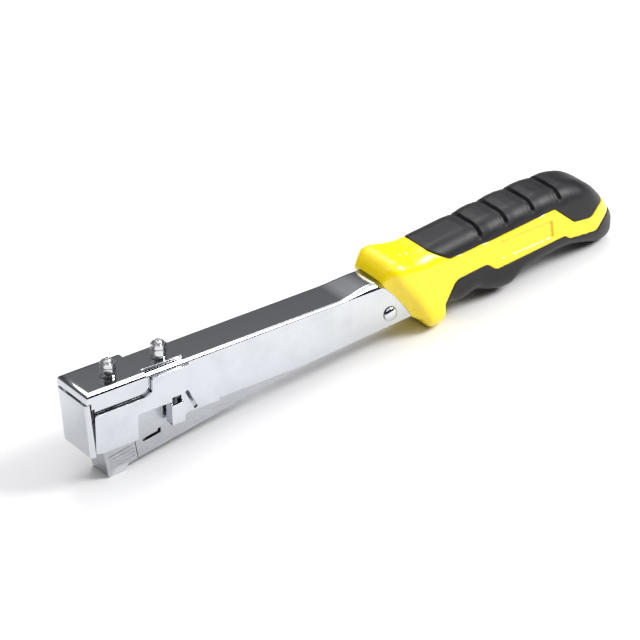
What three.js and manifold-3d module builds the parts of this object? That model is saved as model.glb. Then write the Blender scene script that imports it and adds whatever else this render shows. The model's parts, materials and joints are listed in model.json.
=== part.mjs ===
// Hammer tacker: a steel channel with a staple magazine hinged inside it, a driver blade bolted under a head cap,
// and a moulded handle with two soft grips. Millimetres, +Z up. Everything is drawn in the tool's own frame (X from
// the striking head to the handle, Y across, Z up from the top web), then stood on its nose and the heel of its handle.
import * as THREE from 'three';
import { mergeVertices } from 'three/addons/utils/BufferGeometryUtils.js';
import Module from 'manifold-3d';

const wasm = await Module();
wasm.setup();

// ---------------------------------------------------------------- driving dimensions
const GAP = 0.3; // between pieces that touch
const BORE_CLEARANCE = 0.3; // round a pin or a shank, on the radius

const channel = {
  width: 21, sheet: 1.4, bend: 2, height: 27.6, front: 3.6, tangEnd: 250,
  taperFrom: 126.6, taper: 0.0689, // the side flanges get shallower towards the handle
  tangFrom: 203, tangTo: 212, tangHeight: 15, // and shallower again inside it
  rampFrom: 149, rampTo: 170, ramp: 2, // the web swells upwards just before the handle
};
const cap = {
  front: -2, flangeEnd: 32, tailPastStud: 10.8, tailHalf: 7.5, tailCorner: 2.5,
  sheet: 1.9, drop: 6.1, lip: 2.8, lipBack: 0.5, bend: 3, flangeCorner: 3,
};
const cover = {
  front: -2.86, top: -3.1, belowSkirt: 0.6, footGap: 0.05, sheet: 1.2, bend: 2.2, returnDepth: 2.6,
  tabHalf: 7, tabReach: 5.8, tabStep: 1.3, tabUnder: 2.5,
};
const plate = {
  sheet: 1.5, front: 2.6, shoulder: -10.6, top: -1.5, stepFrom: 32.2, step: 3.2, rearTop: 58,
  rearBottom: 74.7, skirtDrop: 4.8, skirtRise: 0.8, skirtStart: 6.5,
  windowFrom: 26.8, windowTop: -18.6, corner: 1.2,
  slotTopX: 54.9, slotTopZ: -15.4, slotFootX: 60.3, slotFootZ: -26.5, slotWidth: 1.9,
};
const pocket = { from: 45.4, to: 53, top: -19.8, mouth: -16.4, drop: 3.2, proud: 1.4, depth: 5.2, wall: 1.2 };
const notch = { aheadOfWindow: 1.2, to: 62.6, top: -14.6 };
const stud = { behindBlade: 3.8, rearX: 46.2, y: -2, radius: 2, top: 11.2, bottom: -8.6, tip: 0.5 };
const nut = { acrossFlats: 7, height: 3.2, jamHeight: 2.2, washerRadius: 3.9, washerHeight: 1, washerSplit: 0.9 };
const block = { pastStud: 6.8, height: 7.6 };
const blade = { tipX: 13.4, belowCover: 1.6, top: -2, sheet: 1, lean: 0.067 };
const clamp = { thick: 2, top: -2.2, bottom: -9, screwZ: -5.6, screwY: 3.1, screwRadius: 1.25, headRadius: 1.9,
  headHeight: 1.6, screwReach: 2.6 };

const pivot = { x: 179.7, z: -17, radius: 2.5, headRadius: 4, headHeight: 1.9, washerRadius: 5 };
const tilt = THREE.MathUtils.degToRad(9.43); // of the magazine below the channel when the spring holds it open
const swing = THREE.MathUtils.degToRad(5.6); // how far it folds up when the nose strikes

// The magazine's own frame has its origin on the pivot, X towards the handle along the magazine and Z square to it.
// Its lengths are counted back from the front of the nose, which lines up with the blade when the magazine is folded.
const tray = {
  half: 7, sheet: 1.1, rear: 7, aboveFoot: 2.2, pivotTop: 12.5, topSlope: 0.0668, earRadius: 6.4,
  jFrom: 22, jLength: 9.7, jZ: 3.85, jHook: 2, jWidth: 1.7,
};
const nose = {
  wall: 2.4, throat: 2.2, sideWall: 1.4, toe: 1.2, footLength: 9.9, footSlope: 2.2, floor: 3.3,
  lipTop: 10.3, top: 18, length: 17.5, pinFrom: 23.1, pinRadius: 0.6,
  ribs: 4, ribPitch: 2.1, ribFirst: 4.9, ribFrom: 1.7, ribTo: 16.3, ribWidth: 0.7, ribDepth: 0.35,
};
const rail = { sheet: 1, top: 7.3, rear: -40 };
const rod = { z: 12.3, radius: 1.1, from: 12.3, bracketX: -38, bracketThick: 2, bracketTop: 14.4 };
const pusher = { length: 14, sideGap: 0.6, wall: 0.8, crown: 1.2, lugHalf: 2.9, lugThick: 3.4, lugTop: 15 };
const pushSpring = { radius: 2.1, wire: 0.3, turns: 20, steps: 10, sides: 5 };
const lug = { radius: 1.7, headRadius: 2.6, headThick: 0.9, rise: 15 };
const bridge = { x: -80, length: 12, sheet: 1.2 };
const returnSpring = { radius: 3.9, wire: 0.5, turns: 3, steps: 18, sides: 6 };

const grip = { skin: 2.6, clearance: 0.5 };
const tangPin = { x: 231, z: -3.8, radius: 1.6, pastTang: 1.5 };
// Handle sections: X at the middle, backward rake per mm of drop, top, depth below the channel's edge where it enters
// the handle, half width beyond the channel's side, corner radius.
const handleSections = [
  [174.9, 1, 3.6, 1.7, 1.4, 3], [179.4, 0.95, 7.8, 5.5, 3.3, 5], [183.2, 0.86, 10.6, 9.7, 5.5, 7],
  [186.8, 0.82, 11.8, 10.7, 6.3, 8.4], [191, 0.78, 11.5, 10.5, 6.1, 9], [196, 0.74, 10.8, 9.3, 5.5, 9.4],
  [201.5, 0.62, 10.6, 3.3, 4.9, 9.6], [211, 0.3, 12, 2.1, 4.5, 10], [224, 0, 13.8, 3.1, 4.3, 10],
  [235, 0, 15.1, 0.5, 4.3, 10], [243, 0, 16.1, 3.1, 4.5, 10], [250, 0, 16.9, 4.7, 4.5, 10],
  [257, 0, 17.6, 4.3, 4.5, 10], [263, 0, 18.1, 0.5, 4.5, 10], [271, 0, 18.8, -2.1, 4.5, 10],
  [280, 0, 19.2, -3.9, 4.5, 10], [289, 0, 19.4, -4.9, 4.5, 10], [297, 0, 18.7, -4.9, 4.5, 10],
  [304, 0, 16.8, -3.5, 4.4, 10], [310, 0, 13.4, -1.9, 4.1, 10.4], [316, 0, 8.4, 0.5, 3.1, 11],
  [321, 0, 2.8, 1.5, 1.5, 10.6], [325.6, 0, -3.2, 0.5, -1.1, 8.4], [329.2, 0, -8.6, -3.9, -4.9, 4.4],
];
const sweep = { aboveZero: 0.5, fade: 60 }; // the rake is halved above the web and dies out this far below it
const topGripEdge = [
  [332, 34], [200, 34], [203, 10.8], [214.2, 4.2], [245.2, 6.5], [282.2, 10.4], [295.9, -1.4], [307.5, -2.6],
  [312.5, 2.6], [332, 3.4],
];
const lowerGripEdge = [
  [332, -3.6], [320, -4.4], [316, -7.6], [311.9, -11.6], [293.3, -10.4], [289.9, -7.5], [244.5, -11.9],
  [238.5, -7], [218.7, -9.2], [213.3, -18.1], [214.7, -24.4], [221.5, -36], [332, -36],
];
const ROUND = 28; // facets round a pin, nut or hole

// ---------------------------------------------------------------- materials
const steel = (color, roughness) => new THREE.MeshStandardMaterial({ color, roughness, metalness: 1 });
const chrome = steel(0xd8dadd, 0.12);
const springSteel = steel(0x8e9094, 0.3);
const hardSteel = steel(0x6d7075, 0.35);
const zincCasting = steel(0x9b9da3, 0.5);
const yellowPlastic = new THREE.MeshStandardMaterial({ color: 0xffe800, roughness: 0.35, metalness: 0 });
const softBlack = new THREE.MeshStandardMaterial({ color: 0x353438, roughness: 0.7, metalness: 0 });

// ---------------------------------------------------------------- solids from three.js geometry
function solid(geometry) {
  const bare = geometry.clone();
  bare.deleteAttribute('normal');
  bare.deleteAttribute('uv');
  const merged = mergeVertices(bare, 1e-5);
  return new wasm.Manifold(new wasm.Mesh({
    numProp: 3, vertProperties: new Float32Array(merged.attributes.position.array),
    triVerts: new Uint32Array(merged.index.array),
  }));
}

function geometryOf(body) {
  const mesh = body.getMesh();
  const geometry = new THREE.BufferGeometry();
  geometry.setAttribute('position', new THREE.BufferAttribute(new Float32Array(mesh.vertProperties), 3));
  geometry.setIndex(new THREE.BufferAttribute(new Uint32Array(mesh.triVerts), 1));
  return geometry;
}

const union = (first, ...rest) => rest.reduce((sum, next) => sum.add(next), first);
const cut = (first, ...rest) => rest.reduce((left, next) => left.subtract(next), first);

// Box between two corners.
function box(x0, x1, y0, y1, z0, z1) {
  const geometry = new THREE.BoxGeometry(x1 - x0, y1 - y0, z1 - z0);
  geometry.translate((x0 + x1) / 2, (y0 + y1) / 2, (z0 + z1) / 2);
  return solid(geometry);
}

// Round bar along X, Y or Z; the two across coordinates follow in axis order.
function bar(axis, across1, across2, radius, from, to, facets = ROUND) {
  const geometry = new THREE.CylinderGeometry(radius, radius, to - from, facets);
  const middle = (from + to) / 2;
  if (axis === 'x') geometry.rotateZ(Math.PI / 2).translate(middle, across1, across2);
  if (axis === 'y') geometry.translate(across1, middle, across2);
  if (axis === 'z') geometry.rotateX(Math.PI / 2).translate(across1, across2, middle);
  return solid(geometry);
}

// An outline in X and Z, drawn through Y.
function throughY(outline, y0, y1, curveSegments = 6) {
  const geometry = new THREE.ExtrudeGeometry(outline, { depth: y1 - y0, bevelEnabled: false, curveSegments });
  geometry.rotateX(Math.PI / 2).translate(0, y1, 0);
  return solid(geometry);
}

// An outline in Y and Z, drawn through X.
function throughX(outline, x0, x1, curveSegments = 6) {
  const geometry = new THREE.ExtrudeGeometry(outline, { depth: x1 - x0, bevelEnabled: false, curveSegments });
  const turn = new THREE.Matrix4().set(0, 0, 1, x0, 1, 0, 0, 0, 0, 1, 0, 0, 0, 0, 0, 1);
  geometry.applyMatrix4(turn);
  return solid(geometry);
}

const polygon = (points) => new THREE.Shape(points.map(([x, y]) => new THREE.Vector2(x, y)));

// Rounds each corner of a closed outline; a corner's radius is its third number.
function roundedOutline(points) {
  const shape = new THREE.Shape();
  points.forEach(([x, y, radius = 0], i) => {
    const corner = new THREE.Vector2(x, y);
    const [beforeX, beforeY] = points.at(i - 1);
    const [afterX, afterY] = points[(i + 1) % points.length];
    const start = new THREE.Vector2(beforeX, beforeY).sub(corner).setLength(radius).add(corner);
    const end = new THREE.Vector2(afterX, afterY).sub(corner).setLength(radius).add(corner);
    if (i === 0) shape.moveTo(start.x, start.y);
    else shape.lineTo(start.x, start.y);
    if (radius > 0) shape.quadraticCurveTo(x, y, end.x, end.y);
  });
  shape.closePath();
  return shape;
}

// Moves every edge of a polygon outwards by a distance.
function grown(points, distance) {
  const turn = Math.sign(THREE.ShapeUtils.area(points.map(([x, y]) => new THREE.Vector2(x, y))));
  return points.map(([x, y], i) => {
    const before = points.at(i - 1);
    const after = points[(i + 1) % points.length];
    const normal = ([ax, ay], [bx, by]) => new THREE.Vector2(by - ay, ax - bx).normalize().multiplyScalar(turn);
    const n1 = normal(before, [x, y]);
    const n2 = normal([x, y], after);
    const shift = n1.clone().add(n2).multiplyScalar(distance / (1 + n1.dot(n2)));
    return [x + shift.x, y + shift.y];
  });
}

// A closed skin through rings of equal point count, with both ends filled.
function loft(rings) {
  const count = rings[0].length;
  const index = [];
  for (let r = 0; r < rings.length - 1; r += 1) {
    for (let p = 0; p < count; p += 1) {
      const a = r * count + p;
      const b = r * count + ((p + 1) % count);
      index.push(a, a + count, b, b, a + count, b + count);
    }
  }
  const last = (rings.length - 1) * count;
  const face = (ring) => THREE.ShapeUtils.triangulateShape(ring.map((v) => new THREE.Vector2(v.y, v.z)), []);
  face(rings[0]).forEach(([a, b, c]) => index.push(a, b, c));
  face(rings.at(-1)).forEach(([a, b, c]) => index.push(last + a, last + c, last + b));
  const geometry = new THREE.BufferGeometry().setFromPoints(rings.flat());
  geometry.setIndex(index);
  const body = solid(geometry);
  if (body.volume() > 0) return body;
  for (let i = 0; i < index.length; i += 3) [index[i], index[i + 1]] = [index[i + 1], index[i]];
  geometry.setIndex(index);
  return solid(geometry);
}

// Points of a rounded rectangle in Y and Z, anticlockwise seen from the head.
function roundedRing(bottom, top, half, radius, perCorner, place) {
  const ring = [];
  const r = Math.min(radius, half - 0.1, (top - bottom) / 2 - 0.1);
  const centres = [[half - r, top - r, 0], [r - half, top - r, 1], [r - half, bottom + r, 2], [half - r, bottom + r, 3]];
  for (const [y, z, quarter] of centres) {
    for (let i = 0; i <= perCorner; i += 1) {
      const angle = (Math.PI / 2) * (quarter + i / perCorner);
      ring.push(place(y + r * Math.cos(angle), z + r * Math.sin(angle)));
    }
  }
  return ring;
}

// A coil spring of round wire whose ends are closed, along a straight line from one point to another.
class Helix extends THREE.Curve {
  constructor(from, to, radius, turns) {
    super();
    Object.assign(this, { from, to, radius, turns });
    this.along = to.clone().sub(from).normalize();
    this.side = new THREE.Vector3(0, 1, 0);
    this.up = new THREE.Vector3().crossVectors(this.along, this.side);
  }

  getPoint(t, target = new THREE.Vector3()) {
    const angle = t * this.turns * 2 * Math.PI;
    return target.lerpVectors(this.from, this.to, t)
      .addScaledVector(this.side, this.radius * Math.cos(angle))
      .addScaledVector(this.up, this.radius * Math.sin(angle));
  }
}

function coil(from, to, { radius, wire, turns, steps, sides }) {
  const inset = to.clone().sub(from).setLength(wire);
  const path = new Helix(from.clone().add(inset), to.clone().sub(inset), radius, turns);
  const section = new THREE.Shape().absarc(0, 0, wire, 0, 2 * Math.PI);
  const options = { steps: steps * turns, extrudePath: path, curveSegments: sides, bevelEnabled: false };
  return solid(new THREE.ExtrudeGeometry(section, options));
}

// ---------------------------------------------------------------- derived places
const halfChannel = channel.width / 2;
const innerChannel = halfChannel - channel.sheet;
const capTop = GAP + cap.sheet;
const capHalf = halfChannel + GAP + cap.sheet;
const capTail = stud.rearX + cap.tailPastStud;
const plateInner = halfChannel + GAP;
const plateOuter = plateInner + plate.sheet;
const plateSkirt = -channel.height - plate.skirtDrop;
const pocketBottom = -channel.height - pocket.drop;
const lugInner = tray.half - 1.9;
const lugOuter = plateInner - 0.4;
const lugX = (pocket.from + pocket.to) / 2;
const lugRestZ = pocketBottom + pocket.wall + GAP + lug.radius;
const coverHalf = capHalf - GAP;
const coverBottom = plateSkirt - cover.belowSkirt;
const coverRake = (plate.front - cover.front - cover.returnDepth - cover.footGap) / (cover.top - coverBottom);
const bladeTip = coverBottom - blade.belowCover;
const bladeX = (z) => blade.tipX - blade.lean * (z - bladeTip);
const tangPinHalf = halfChannel + tangPin.pastTang;
const studs = [['front', blade.tipX + stud.behindBlade], ['rear', stud.rearX]];
const trayTop = (x) => tray.pivotTop - tray.topSlope * x;
const trayInner = tray.half - tray.sheet;
const noseInner = tray.half - nose.sideWall;
const blockHalf = noseInner - GAP;
const bladeHalf = blockHalf - 0.1;
const pusherHalf = trayInner - pusher.sideGap;
const railHalf = pusherHalf - pusher.wall - GAP;
const struck = inMagazine(blade.tipX, bladeTip, tilt - swing); // the blade's tip in the folded magazine's frame
const noseFoot = struck.z;
const noseFront = struck.x - nose.throat / 2 - nose.wall;
const noseRear = noseFront + nose.length;
const noseFloor = noseFoot + nose.floor;
const trayFront = noseRear + 0.4;
const trayBottom = noseFoot + tray.aboveFoot;
const pinX = noseFront + nose.pinFrom;
const railFront = noseFront + nose.wall + nose.throat;
const railBottom = noseFloor + GAP;
const pusherFront = railFront + 2 * GAP;
const pusherRear = pusherFront + pusher.length - GAP;
const bridgeBottom = pusher.lugTop + GAP;

function channelHeight(x) {
  const height = channel.height - channel.taper * Math.max(0, x - channel.taperFrom);
  const into = THREE.MathUtils.clamp((x - channel.tangFrom) / (channel.tangTo - channel.tangFrom), 0, 1);
  return height + (channel.tangHeight - height) * into;
}

function webRise(x) {
  return channel.ramp * THREE.MathUtils.smoothstep(x, channel.rampFrom, channel.rampTo);
}

// A tool-frame point in the magazine's own frame, when the magazine hangs at an angle below the channel.
function inMagazine(x, z, angle) {
  const dx = x - pivot.x;
  const dz = z - pivot.z;
  return { x: dx * Math.cos(angle) + dz * Math.sin(angle), z: dz * Math.cos(angle) - dx * Math.sin(angle) };
}

// ---------------------------------------------------------------- body: channel, cap, cover and side plates
// Points over the channel at one station, from foot to foot, grown outwards by a distance.
function channelArch(x, grow, half, bend) {
  const rise = webRise(x);
  const top = rise + grow;
  const fold = -channel.bend - Math.max(0, -grow) * 0.2;
  const right = [[half, -channelHeight(x) - Math.max(0, grow)]];
  for (let i = 0; i <= 5; i += 1) {
    const angle = (Math.PI / 2) * (i / 5);
    right.push([half - (bend + rise) * (1 - Math.cos(angle)), fold + (top - fold) * Math.sin(angle)]);
  }
  return [...right, ...right.toReversed().map(([y, z]) => [-y, z])].map(([y, z]) => new THREE.Vector3(x, y, z));
}

// U-shaped ring of the channel: over the outside, then back along the inside.
function channelRing(x) {
  const outside = channelArch(x, 0, halfChannel, channel.bend);
  const inside = channelArch(x, -channel.sheet, innerChannel, channel.bend - channel.sheet * 0.5);
  return [...outside, ...inside.toReversed()];
}

function bodyChannel() {
  const rampStations = [0, 1, 2, 3, 4, 5, 6]
    .map((i) => channel.rampFrom + ((channel.rampTo - channel.rampFrom) * i) / 6);
  const stations = [channel.front, channel.taperFrom, ...rampStations, channel.tangFrom, channel.tangTo, channel.tangEnd];
  const wide = channel.width;
  const windowCut = box(plate.windowFrom - notch.aheadOfWindow, notch.to, -wide, wide, -2 * channel.height, notch.top);
  const rise = lug.rise + lug.radius + 2 * GAP;
  const lugRoom = lug.radius + 3 * GAP;
  const lugSlot = box(lugX - lugRoom - GAP, lugX + lugRoom, -wide, wide, lugRestZ, lugRestZ + rise);
  const rivetHole = bar('y', pivot.x, pivot.z, pivot.radius + BORE_CLEARANCE, -wide, wide);
  const pinHole = bar('y', tangPin.x, tangPin.z, tangPin.radius + BORE_CLEARANCE, -wide, wide);
  const studHoles = studs.map(([, x]) => bar('z', x, stud.y, stud.radius + BORE_CLEARANCE, -5, 5));
  return cut(loft(stations.map(channelRing)), windowCut, lugSlot, rivetHole, pinHole, ...studHoles);
}

// Arch across Y and Z with rounded shoulders, open below.
function arch(half, top, bottom, bend) {
  return roundedOutline([[-half, bottom], [half, bottom], [half, top, bend], [-half, top, bend]]);
}

function headCap() {
  const profile = (inset) => roundedOutline([
    [cap.front + inset, -cap.lip], [cap.front + inset, capTop - inset, cap.bend - inset],
    [cap.flangeEnd, capTop - inset], [cap.flangeEnd, -cap.drop, cap.flangeCorner],
    [cap.lipBack, -cap.drop], [cap.lipBack, -cap.lip],
  ]);
  const outside = throughX(arch(capHalf, capTop, -2 * cap.drop, cap.bend), cap.front - 1, cap.flangeEnd + 1)
    .intersect(throughY(profile(0), -capHalf - 1, capHalf + 1));
  const inside = throughX(
    arch(halfChannel + GAP, GAP, -3 * cap.drop, cap.bend - cap.sheet), cap.front + cap.sheet, cap.flangeEnd + 2,
  );
  const tail = box(cap.flangeEnd - 4, capTail, -cap.tailHalf, cap.tailHalf, GAP, capTop);
  const clipped = [1, -1].map((side) => {
    const corner = new THREE.Shape([
      new THREE.Vector2(capTail + 1, side * (cap.tailHalf - cap.tailCorner)),
      new THREE.Vector2(capTail + 1, side * (cap.tailHalf + 1)),
      new THREE.Vector2(capTail - cap.tailCorner, side * (cap.tailHalf + 1)),
    ]);
    return solid(new THREE.ExtrudeGeometry(corner, { depth: 20, bevelEnabled: false }).translate(0, 0, -10));
  });
  const holes = studs.map(([, x]) => bar('z', x, stud.y, stud.radius + BORE_CLEARANCE, -5, 10));
  return cut(union(cut(outside, inside), tail), ...clipped, ...holes);
}

// Bent sheet closing the front of the head: raked front wall, short returns, and a tab under the channel's web.
function frontCover() {
  const depth = cover.returnDepth;
  const across = (inset) => roundedOutline([
    [depth + inset, -coverHalf + inset], [depth + inset, coverHalf - inset],
    [inset, coverHalf - inset, cover.bend - inset], [inset, -coverHalf + inset, cover.bend - inset],
  ]);
  const height = cover.top - coverBottom;
  const draw = (inset) => solid(new THREE.ExtrudeGeometry(across(inset), {
    depth: height + 4 * inset, bevelEnabled: false, curveSegments: 8,
  }).translate(0, 0, -height - 2 * inset));
  const wall = cut(draw(0), draw(cover.sheet));
  const raked = wall.rotate([0, THREE.MathUtils.radToDeg(-coverRake), 0])
    .translate([cover.front, 0, cover.top - cover.returnDepth * coverRake - GAP / 2]);
  const under = -channel.sheet - GAP;
  const low = cover.top - GAP / 2 - cover.sheet * 1.1;
  const step = under - cover.sheet;
  const tab = polygon([
    [cover.front + cover.sheet / 2, low], [cover.tabUnder, low], [cover.tabUnder, step], [cover.tabReach, step],
    [cover.tabReach, under], [cover.tabStep, under], [cover.tabStep, low + cover.sheet],
    [cover.front + cover.sheet / 2, low + cover.sheet * 0.8],
  ]);
  return union(raked, throughY(tab, -cover.tabHalf, cover.tabHalf));
}

// One side plate (side is 1 or -1): stepped top, raked rear edge, window, pocket and slanted slot.
function sidePlate(side) {
  const c = plate.corner;
  const stepMid = plate.stepFrom + plate.step;
  const outline = roundedOutline([
    [plate.front, plateSkirt + plate.skirtRise, c], [plate.front, plate.shoulder, c],
    [plate.stepFrom, plate.shoulder, c * 2], [stepMid, plate.shoulder + 2, c], [stepMid, plate.top, c * 1.6],
    [plate.rearTop, plate.top, c * 0.5], [plate.rearBottom, -channel.height, c], [pocket.to + 2, -channel.height, c],
    [pocket.to - 1, pocketBottom, c], [pocket.from, pocketBottom, 0.2], [pocket.from, plate.windowTop, c],
    [plate.windowFrom, plate.windowTop, c], [plate.windowFrom, plateSkirt, c * 0.5],
    [plate.skirtStart, plateSkirt, c * 0.5],
  ]);
  const outer = (y0, y1) => (side < 0 ? [-y1, -y0] : [y0, y1]);
  const sheet = throughY(outline, ...outer(plateInner, plateOuter));
  const strapOuter = plateOuter + pocket.proud;
  const strap = box(pocket.from, pocket.to, ...outer(strapOuter - pocket.depth, strapOuter), pocketBottom, pocket.top);
  const hollow = box(
    pocket.from + pocket.wall, pocket.to - pocket.wall,
    ...outer(0, strapOuter - pocket.wall), pocketBottom + pocket.wall, pocket.mouth,
  );
  const mouth = box(
    pocket.from + pocket.wall, pocket.to - pocket.wall, ...outer(0, strapOuter + 1), pocket.top, pocket.mouth,
  );
  const run = new THREE.Vector2(plate.slotFootX - plate.slotTopX, plate.slotFootZ - plate.slotTopZ);
  const across = new THREE.Vector2(-run.y, run.x).setLength(plate.slotWidth / 2);
  const slot = polygon([
    [plate.slotTopX + across.x, plate.slotTopZ + across.y], [plate.slotTopX - across.x, plate.slotTopZ - across.y],
    [plate.slotFootX - across.x, plate.slotFootZ - across.y], [plate.slotFootX + across.x, plate.slotFootZ + across.y],
  ]);
  return cut(union(sheet, strap), hollow, mouth, throughY(slot, -2 * plateOuter, 2 * plateOuter));
}

// ---------------------------------------------------------------- body: driver and its fasteners
function driverBlock() {
  const top = -channel.sheet - GAP;
  const bottom = top - block.height;
  const face = blade.sheet / 2 + GAP;
  const profile = polygon([
    [bladeX(top) + face, top], [stud.rearX + block.pastStud, top], [stud.rearX + block.pastStud, bottom], [bladeX(bottom) + face, bottom],
  ]);
  const holes = studs.map(([, x]) => bar('z', x, stud.y, stud.radius + BORE_CLEARANCE, bottom - 1, top + 1));
  const screwHoles = [-1, 1].map((side) => clampScrewBar(side, clamp.screwRadius + BORE_CLEARANCE, GAP));
  return cut(throughY(profile, -blockHalf, blockHalf), ...holes, ...screwHoles);
}

function driverBlade() {
  const face = blade.sheet / 2;
  const profile = polygon([
    [bladeX(blade.top) - face, blade.top], [bladeX(blade.top) + face, blade.top],
    [bladeX(bladeTip) + face, bladeTip], [bladeX(bladeTip) - face, bladeTip],
  ]);
  const holes = [-1, 1].map((side) => clampScrewBar(side, clamp.screwRadius + BORE_CLEARANCE, GAP));
  return cut(throughY(profile, -bladeHalf, bladeHalf), ...holes);
}

function bladeClamp() {
  const near = blade.sheet / 2 + GAP;
  const far = near + clamp.thick;
  const profile = polygon([
    [bladeX(clamp.top) - far, clamp.top], [bladeX(clamp.top) - near, clamp.top],
    [bladeX(clamp.bottom) - near, clamp.bottom], [bladeX(clamp.bottom) - far, clamp.bottom],
  ]);
  const holes = [-1, 1].map((side) => clampScrewBar(side, clamp.screwRadius + BORE_CLEARANCE, GAP));
  return cut(throughY(profile, -bladeHalf, bladeHalf), ...holes);
}

function clampScrewBar(side, radius, extra) {
  const from = bladeX(clamp.screwZ) - blade.sheet / 2 - GAP - clamp.thick - GAP;
  return bar('x', side * clamp.screwY, clamp.screwZ, radius, from - extra,
    bladeX(clamp.screwZ) + blade.sheet / 2 + clamp.screwReach + extra);
}

function clampScrew(side) {
  const seat = bladeX(clamp.screwZ) - blade.sheet / 2 - 2 * GAP - clamp.thick - 0.1;
  const head = bar('x', side * clamp.screwY, clamp.screwZ, clamp.headRadius, seat - clamp.headHeight, seat);
  return union(clampScrewBar(side, clamp.screwRadius, 0.15), head);
}

function studBar(x) {
  const tip = new THREE.CylinderGeometry(stud.radius - stud.tip, stud.radius, stud.tip, ROUND);
  tip.rotateX(Math.PI / 2).translate(x, stud.y, stud.top - stud.tip / 2);
  return union(bar('z', x, stud.y, stud.radius, stud.bottom, stud.top - stud.tip), solid(tip));
}

function lockWasher(x) {
  const from = capTop + GAP;
  const ring = bar('z', x, stud.y, nut.washerRadius, from, from + nut.washerHeight);
  const bore = bar('z', x, stud.y, stud.radius + BORE_CLEARANCE, from - 1, from + 2);
  return cut(ring, bore, box(x, x + 5, stud.y - nut.washerSplit / 2, stud.y + nut.washerSplit / 2, from - 1, from + 2));
}

function hexNut(x, from, height) {
  const corner = nut.acrossFlats / Math.sqrt(3);
  const hex = bar('z', x, stud.y, corner, from, from + height, 6);
  const round = new THREE.LatheGeometry([
    [0, from - 0.01], [corner * 0.9, from - 0.01], [corner * 1.02, from + 0.5],
    [corner * 1.02, from + height - 0.5], [corner * 0.9, from + height + 0.01], [0, from + height + 0.01],
  ].map(([r, z]) => new THREE.Vector2(r, z)), ROUND);
  round.rotateX(Math.PI / 2).translate(x, stud.y, 0);
  const bore = bar('z', x, stud.y, stud.radius + BORE_CLEARANCE, from - 1, from + height + 1);
  return cut(hex.intersect(solid(round)), bore);
}

// ---------------------------------------------------------------- body: pivot
function pivotRivet() {
  const inner = halfChannel + GAP;
  const profile = [[0, -inner - pivot.headHeight]];
  for (let i = 1; i <= 6; i += 1) {
    const angle = (Math.PI / 2) * (i / 6);
    profile.push([pivot.headRadius * Math.sin(angle), -inner - pivot.headHeight * Math.cos(angle)]);
  }
  profile.push([pivot.radius, -inner]);
  const half = profile.map(([r, y]) => new THREE.Vector2(r, y));
  const mirrored = half.toReversed().map((v) => new THREE.Vector2(v.x, -v.y));
  const geometry = new THREE.LatheGeometry([...half, ...mirrored], ROUND);
  return solid(geometry.translate(pivot.x, 0, pivot.z));
}

function pivotWasher(side) {
  const ys = [side * (tray.half + GAP), side * (innerChannel - GAP)].sort((a, b) => a - b);
  const ring = bar('y', pivot.x, pivot.z, pivot.washerRadius, ...ys);
  return cut(ring, bar('y', pivot.x, pivot.z, pivot.radius + BORE_CLEARANCE, -30, 30));
}

// ---------------------------------------------------------------- handle
const collarFoot = -channelHeight(channel.tangFrom - 8);
const sections = handleSections.map(([x, rake, top, under, beyond, radius]) => (
  { x, rake, top, bottom: collarFoot - under, half: halfChannel + beyond, radius }
));

function handlePoint(x, rake, y, z) {
  const drop = z > 0 ? z * sweep.aboveZero : z + (z * z) / (2 * sweep.fade);
  return new THREE.Vector3(x - rake * drop, y, z);
}

function handleSkin(inset, perCorner = 6) {
  const last = sections.length - 1;
  return loft(sections.map(({ x, rake, top, bottom, half, radius }, i) => {
    const shift = i === 0 ? inset / 2 : i === last ? -inset : 0;
    return roundedRing(bottom + inset, top - inset, half - inset, radius - inset * 0.6, perCorner,
      (y, z) => handlePoint(x + shift, rake, y, z));
  }));
}

// Room for the channel's tang inside the handle.
function tangRoom() {
  const stations = [channel.rampFrom, channel.rampTo, channel.tangFrom, channel.tangTo, channel.tangEnd + GAP];
  return loft(stations.map((x) => channelArch(x, GAP, halfChannel + GAP, channel.bend)));
}

const handleWide = 40; // wider than the handle, for cuts right through it

function handleCore() {
  const zones = [topGripEdge, lowerGripEdge]
    .map((edge) => throughY(polygon(grown(edge, GAP)), -handleWide, handleWide));
  const pinHole = bar('y', tangPin.x, tangPin.z, tangPin.radius + BORE_CLEARANCE,
    -tangPinHalf - GAP, tangPinHalf + GAP);
  return cut(union(cut(handleSkin(0), ...zones), handleSkin(grip.skin + grip.clearance)), tangRoom(), pinHole);
}

function softGrip(edge) {
  const zone = throughY(polygon(edge), -handleWide, handleWide);
  return cut(handleSkin(0).intersect(zone), handleSkin(grip.skin));
}

// ---------------------------------------------------------------- magazine, in its own frame
function trayOutline(half) {
  const ear = [];
  for (let i = 0; i <= 8; i += 1) {
    const angle = -Math.PI * 0.78 + Math.PI * 1.12 * (i / 8);
    ear.push([tray.earRadius * Math.cos(angle), tray.earRadius * Math.sin(angle)]);
  }
  const outline = polygon([
    [trayFront, trayBottom], ...ear, [tray.rear - 1, trayTop(tray.rear)], [trayFront, trayTop(trayFront)],
  ]);
  return throughY(outline, -half, half);
}

// Slot in both side walls with an upturned rear end.
function jSlot() {
  const jFrom = noseFront + tray.jFrom;
  const jTo = jFrom + tray.jLength;
  const r = tray.jWidth / 2;
  const outline = roundedOutline([
    [jFrom, tray.jZ - r, r * 0.6], [jTo + r, tray.jZ - r, r], [jTo + r + 0.4, tray.jZ + tray.jHook, r * 0.6],
    [jTo - r + 0.4, tray.jZ + tray.jHook, r * 0.6], [jTo - r, tray.jZ + r], [jFrom, tray.jZ + r, r * 0.6],
  ]);
  return throughY(outline, -tray.half - 1, tray.half + 1);
}

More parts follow.
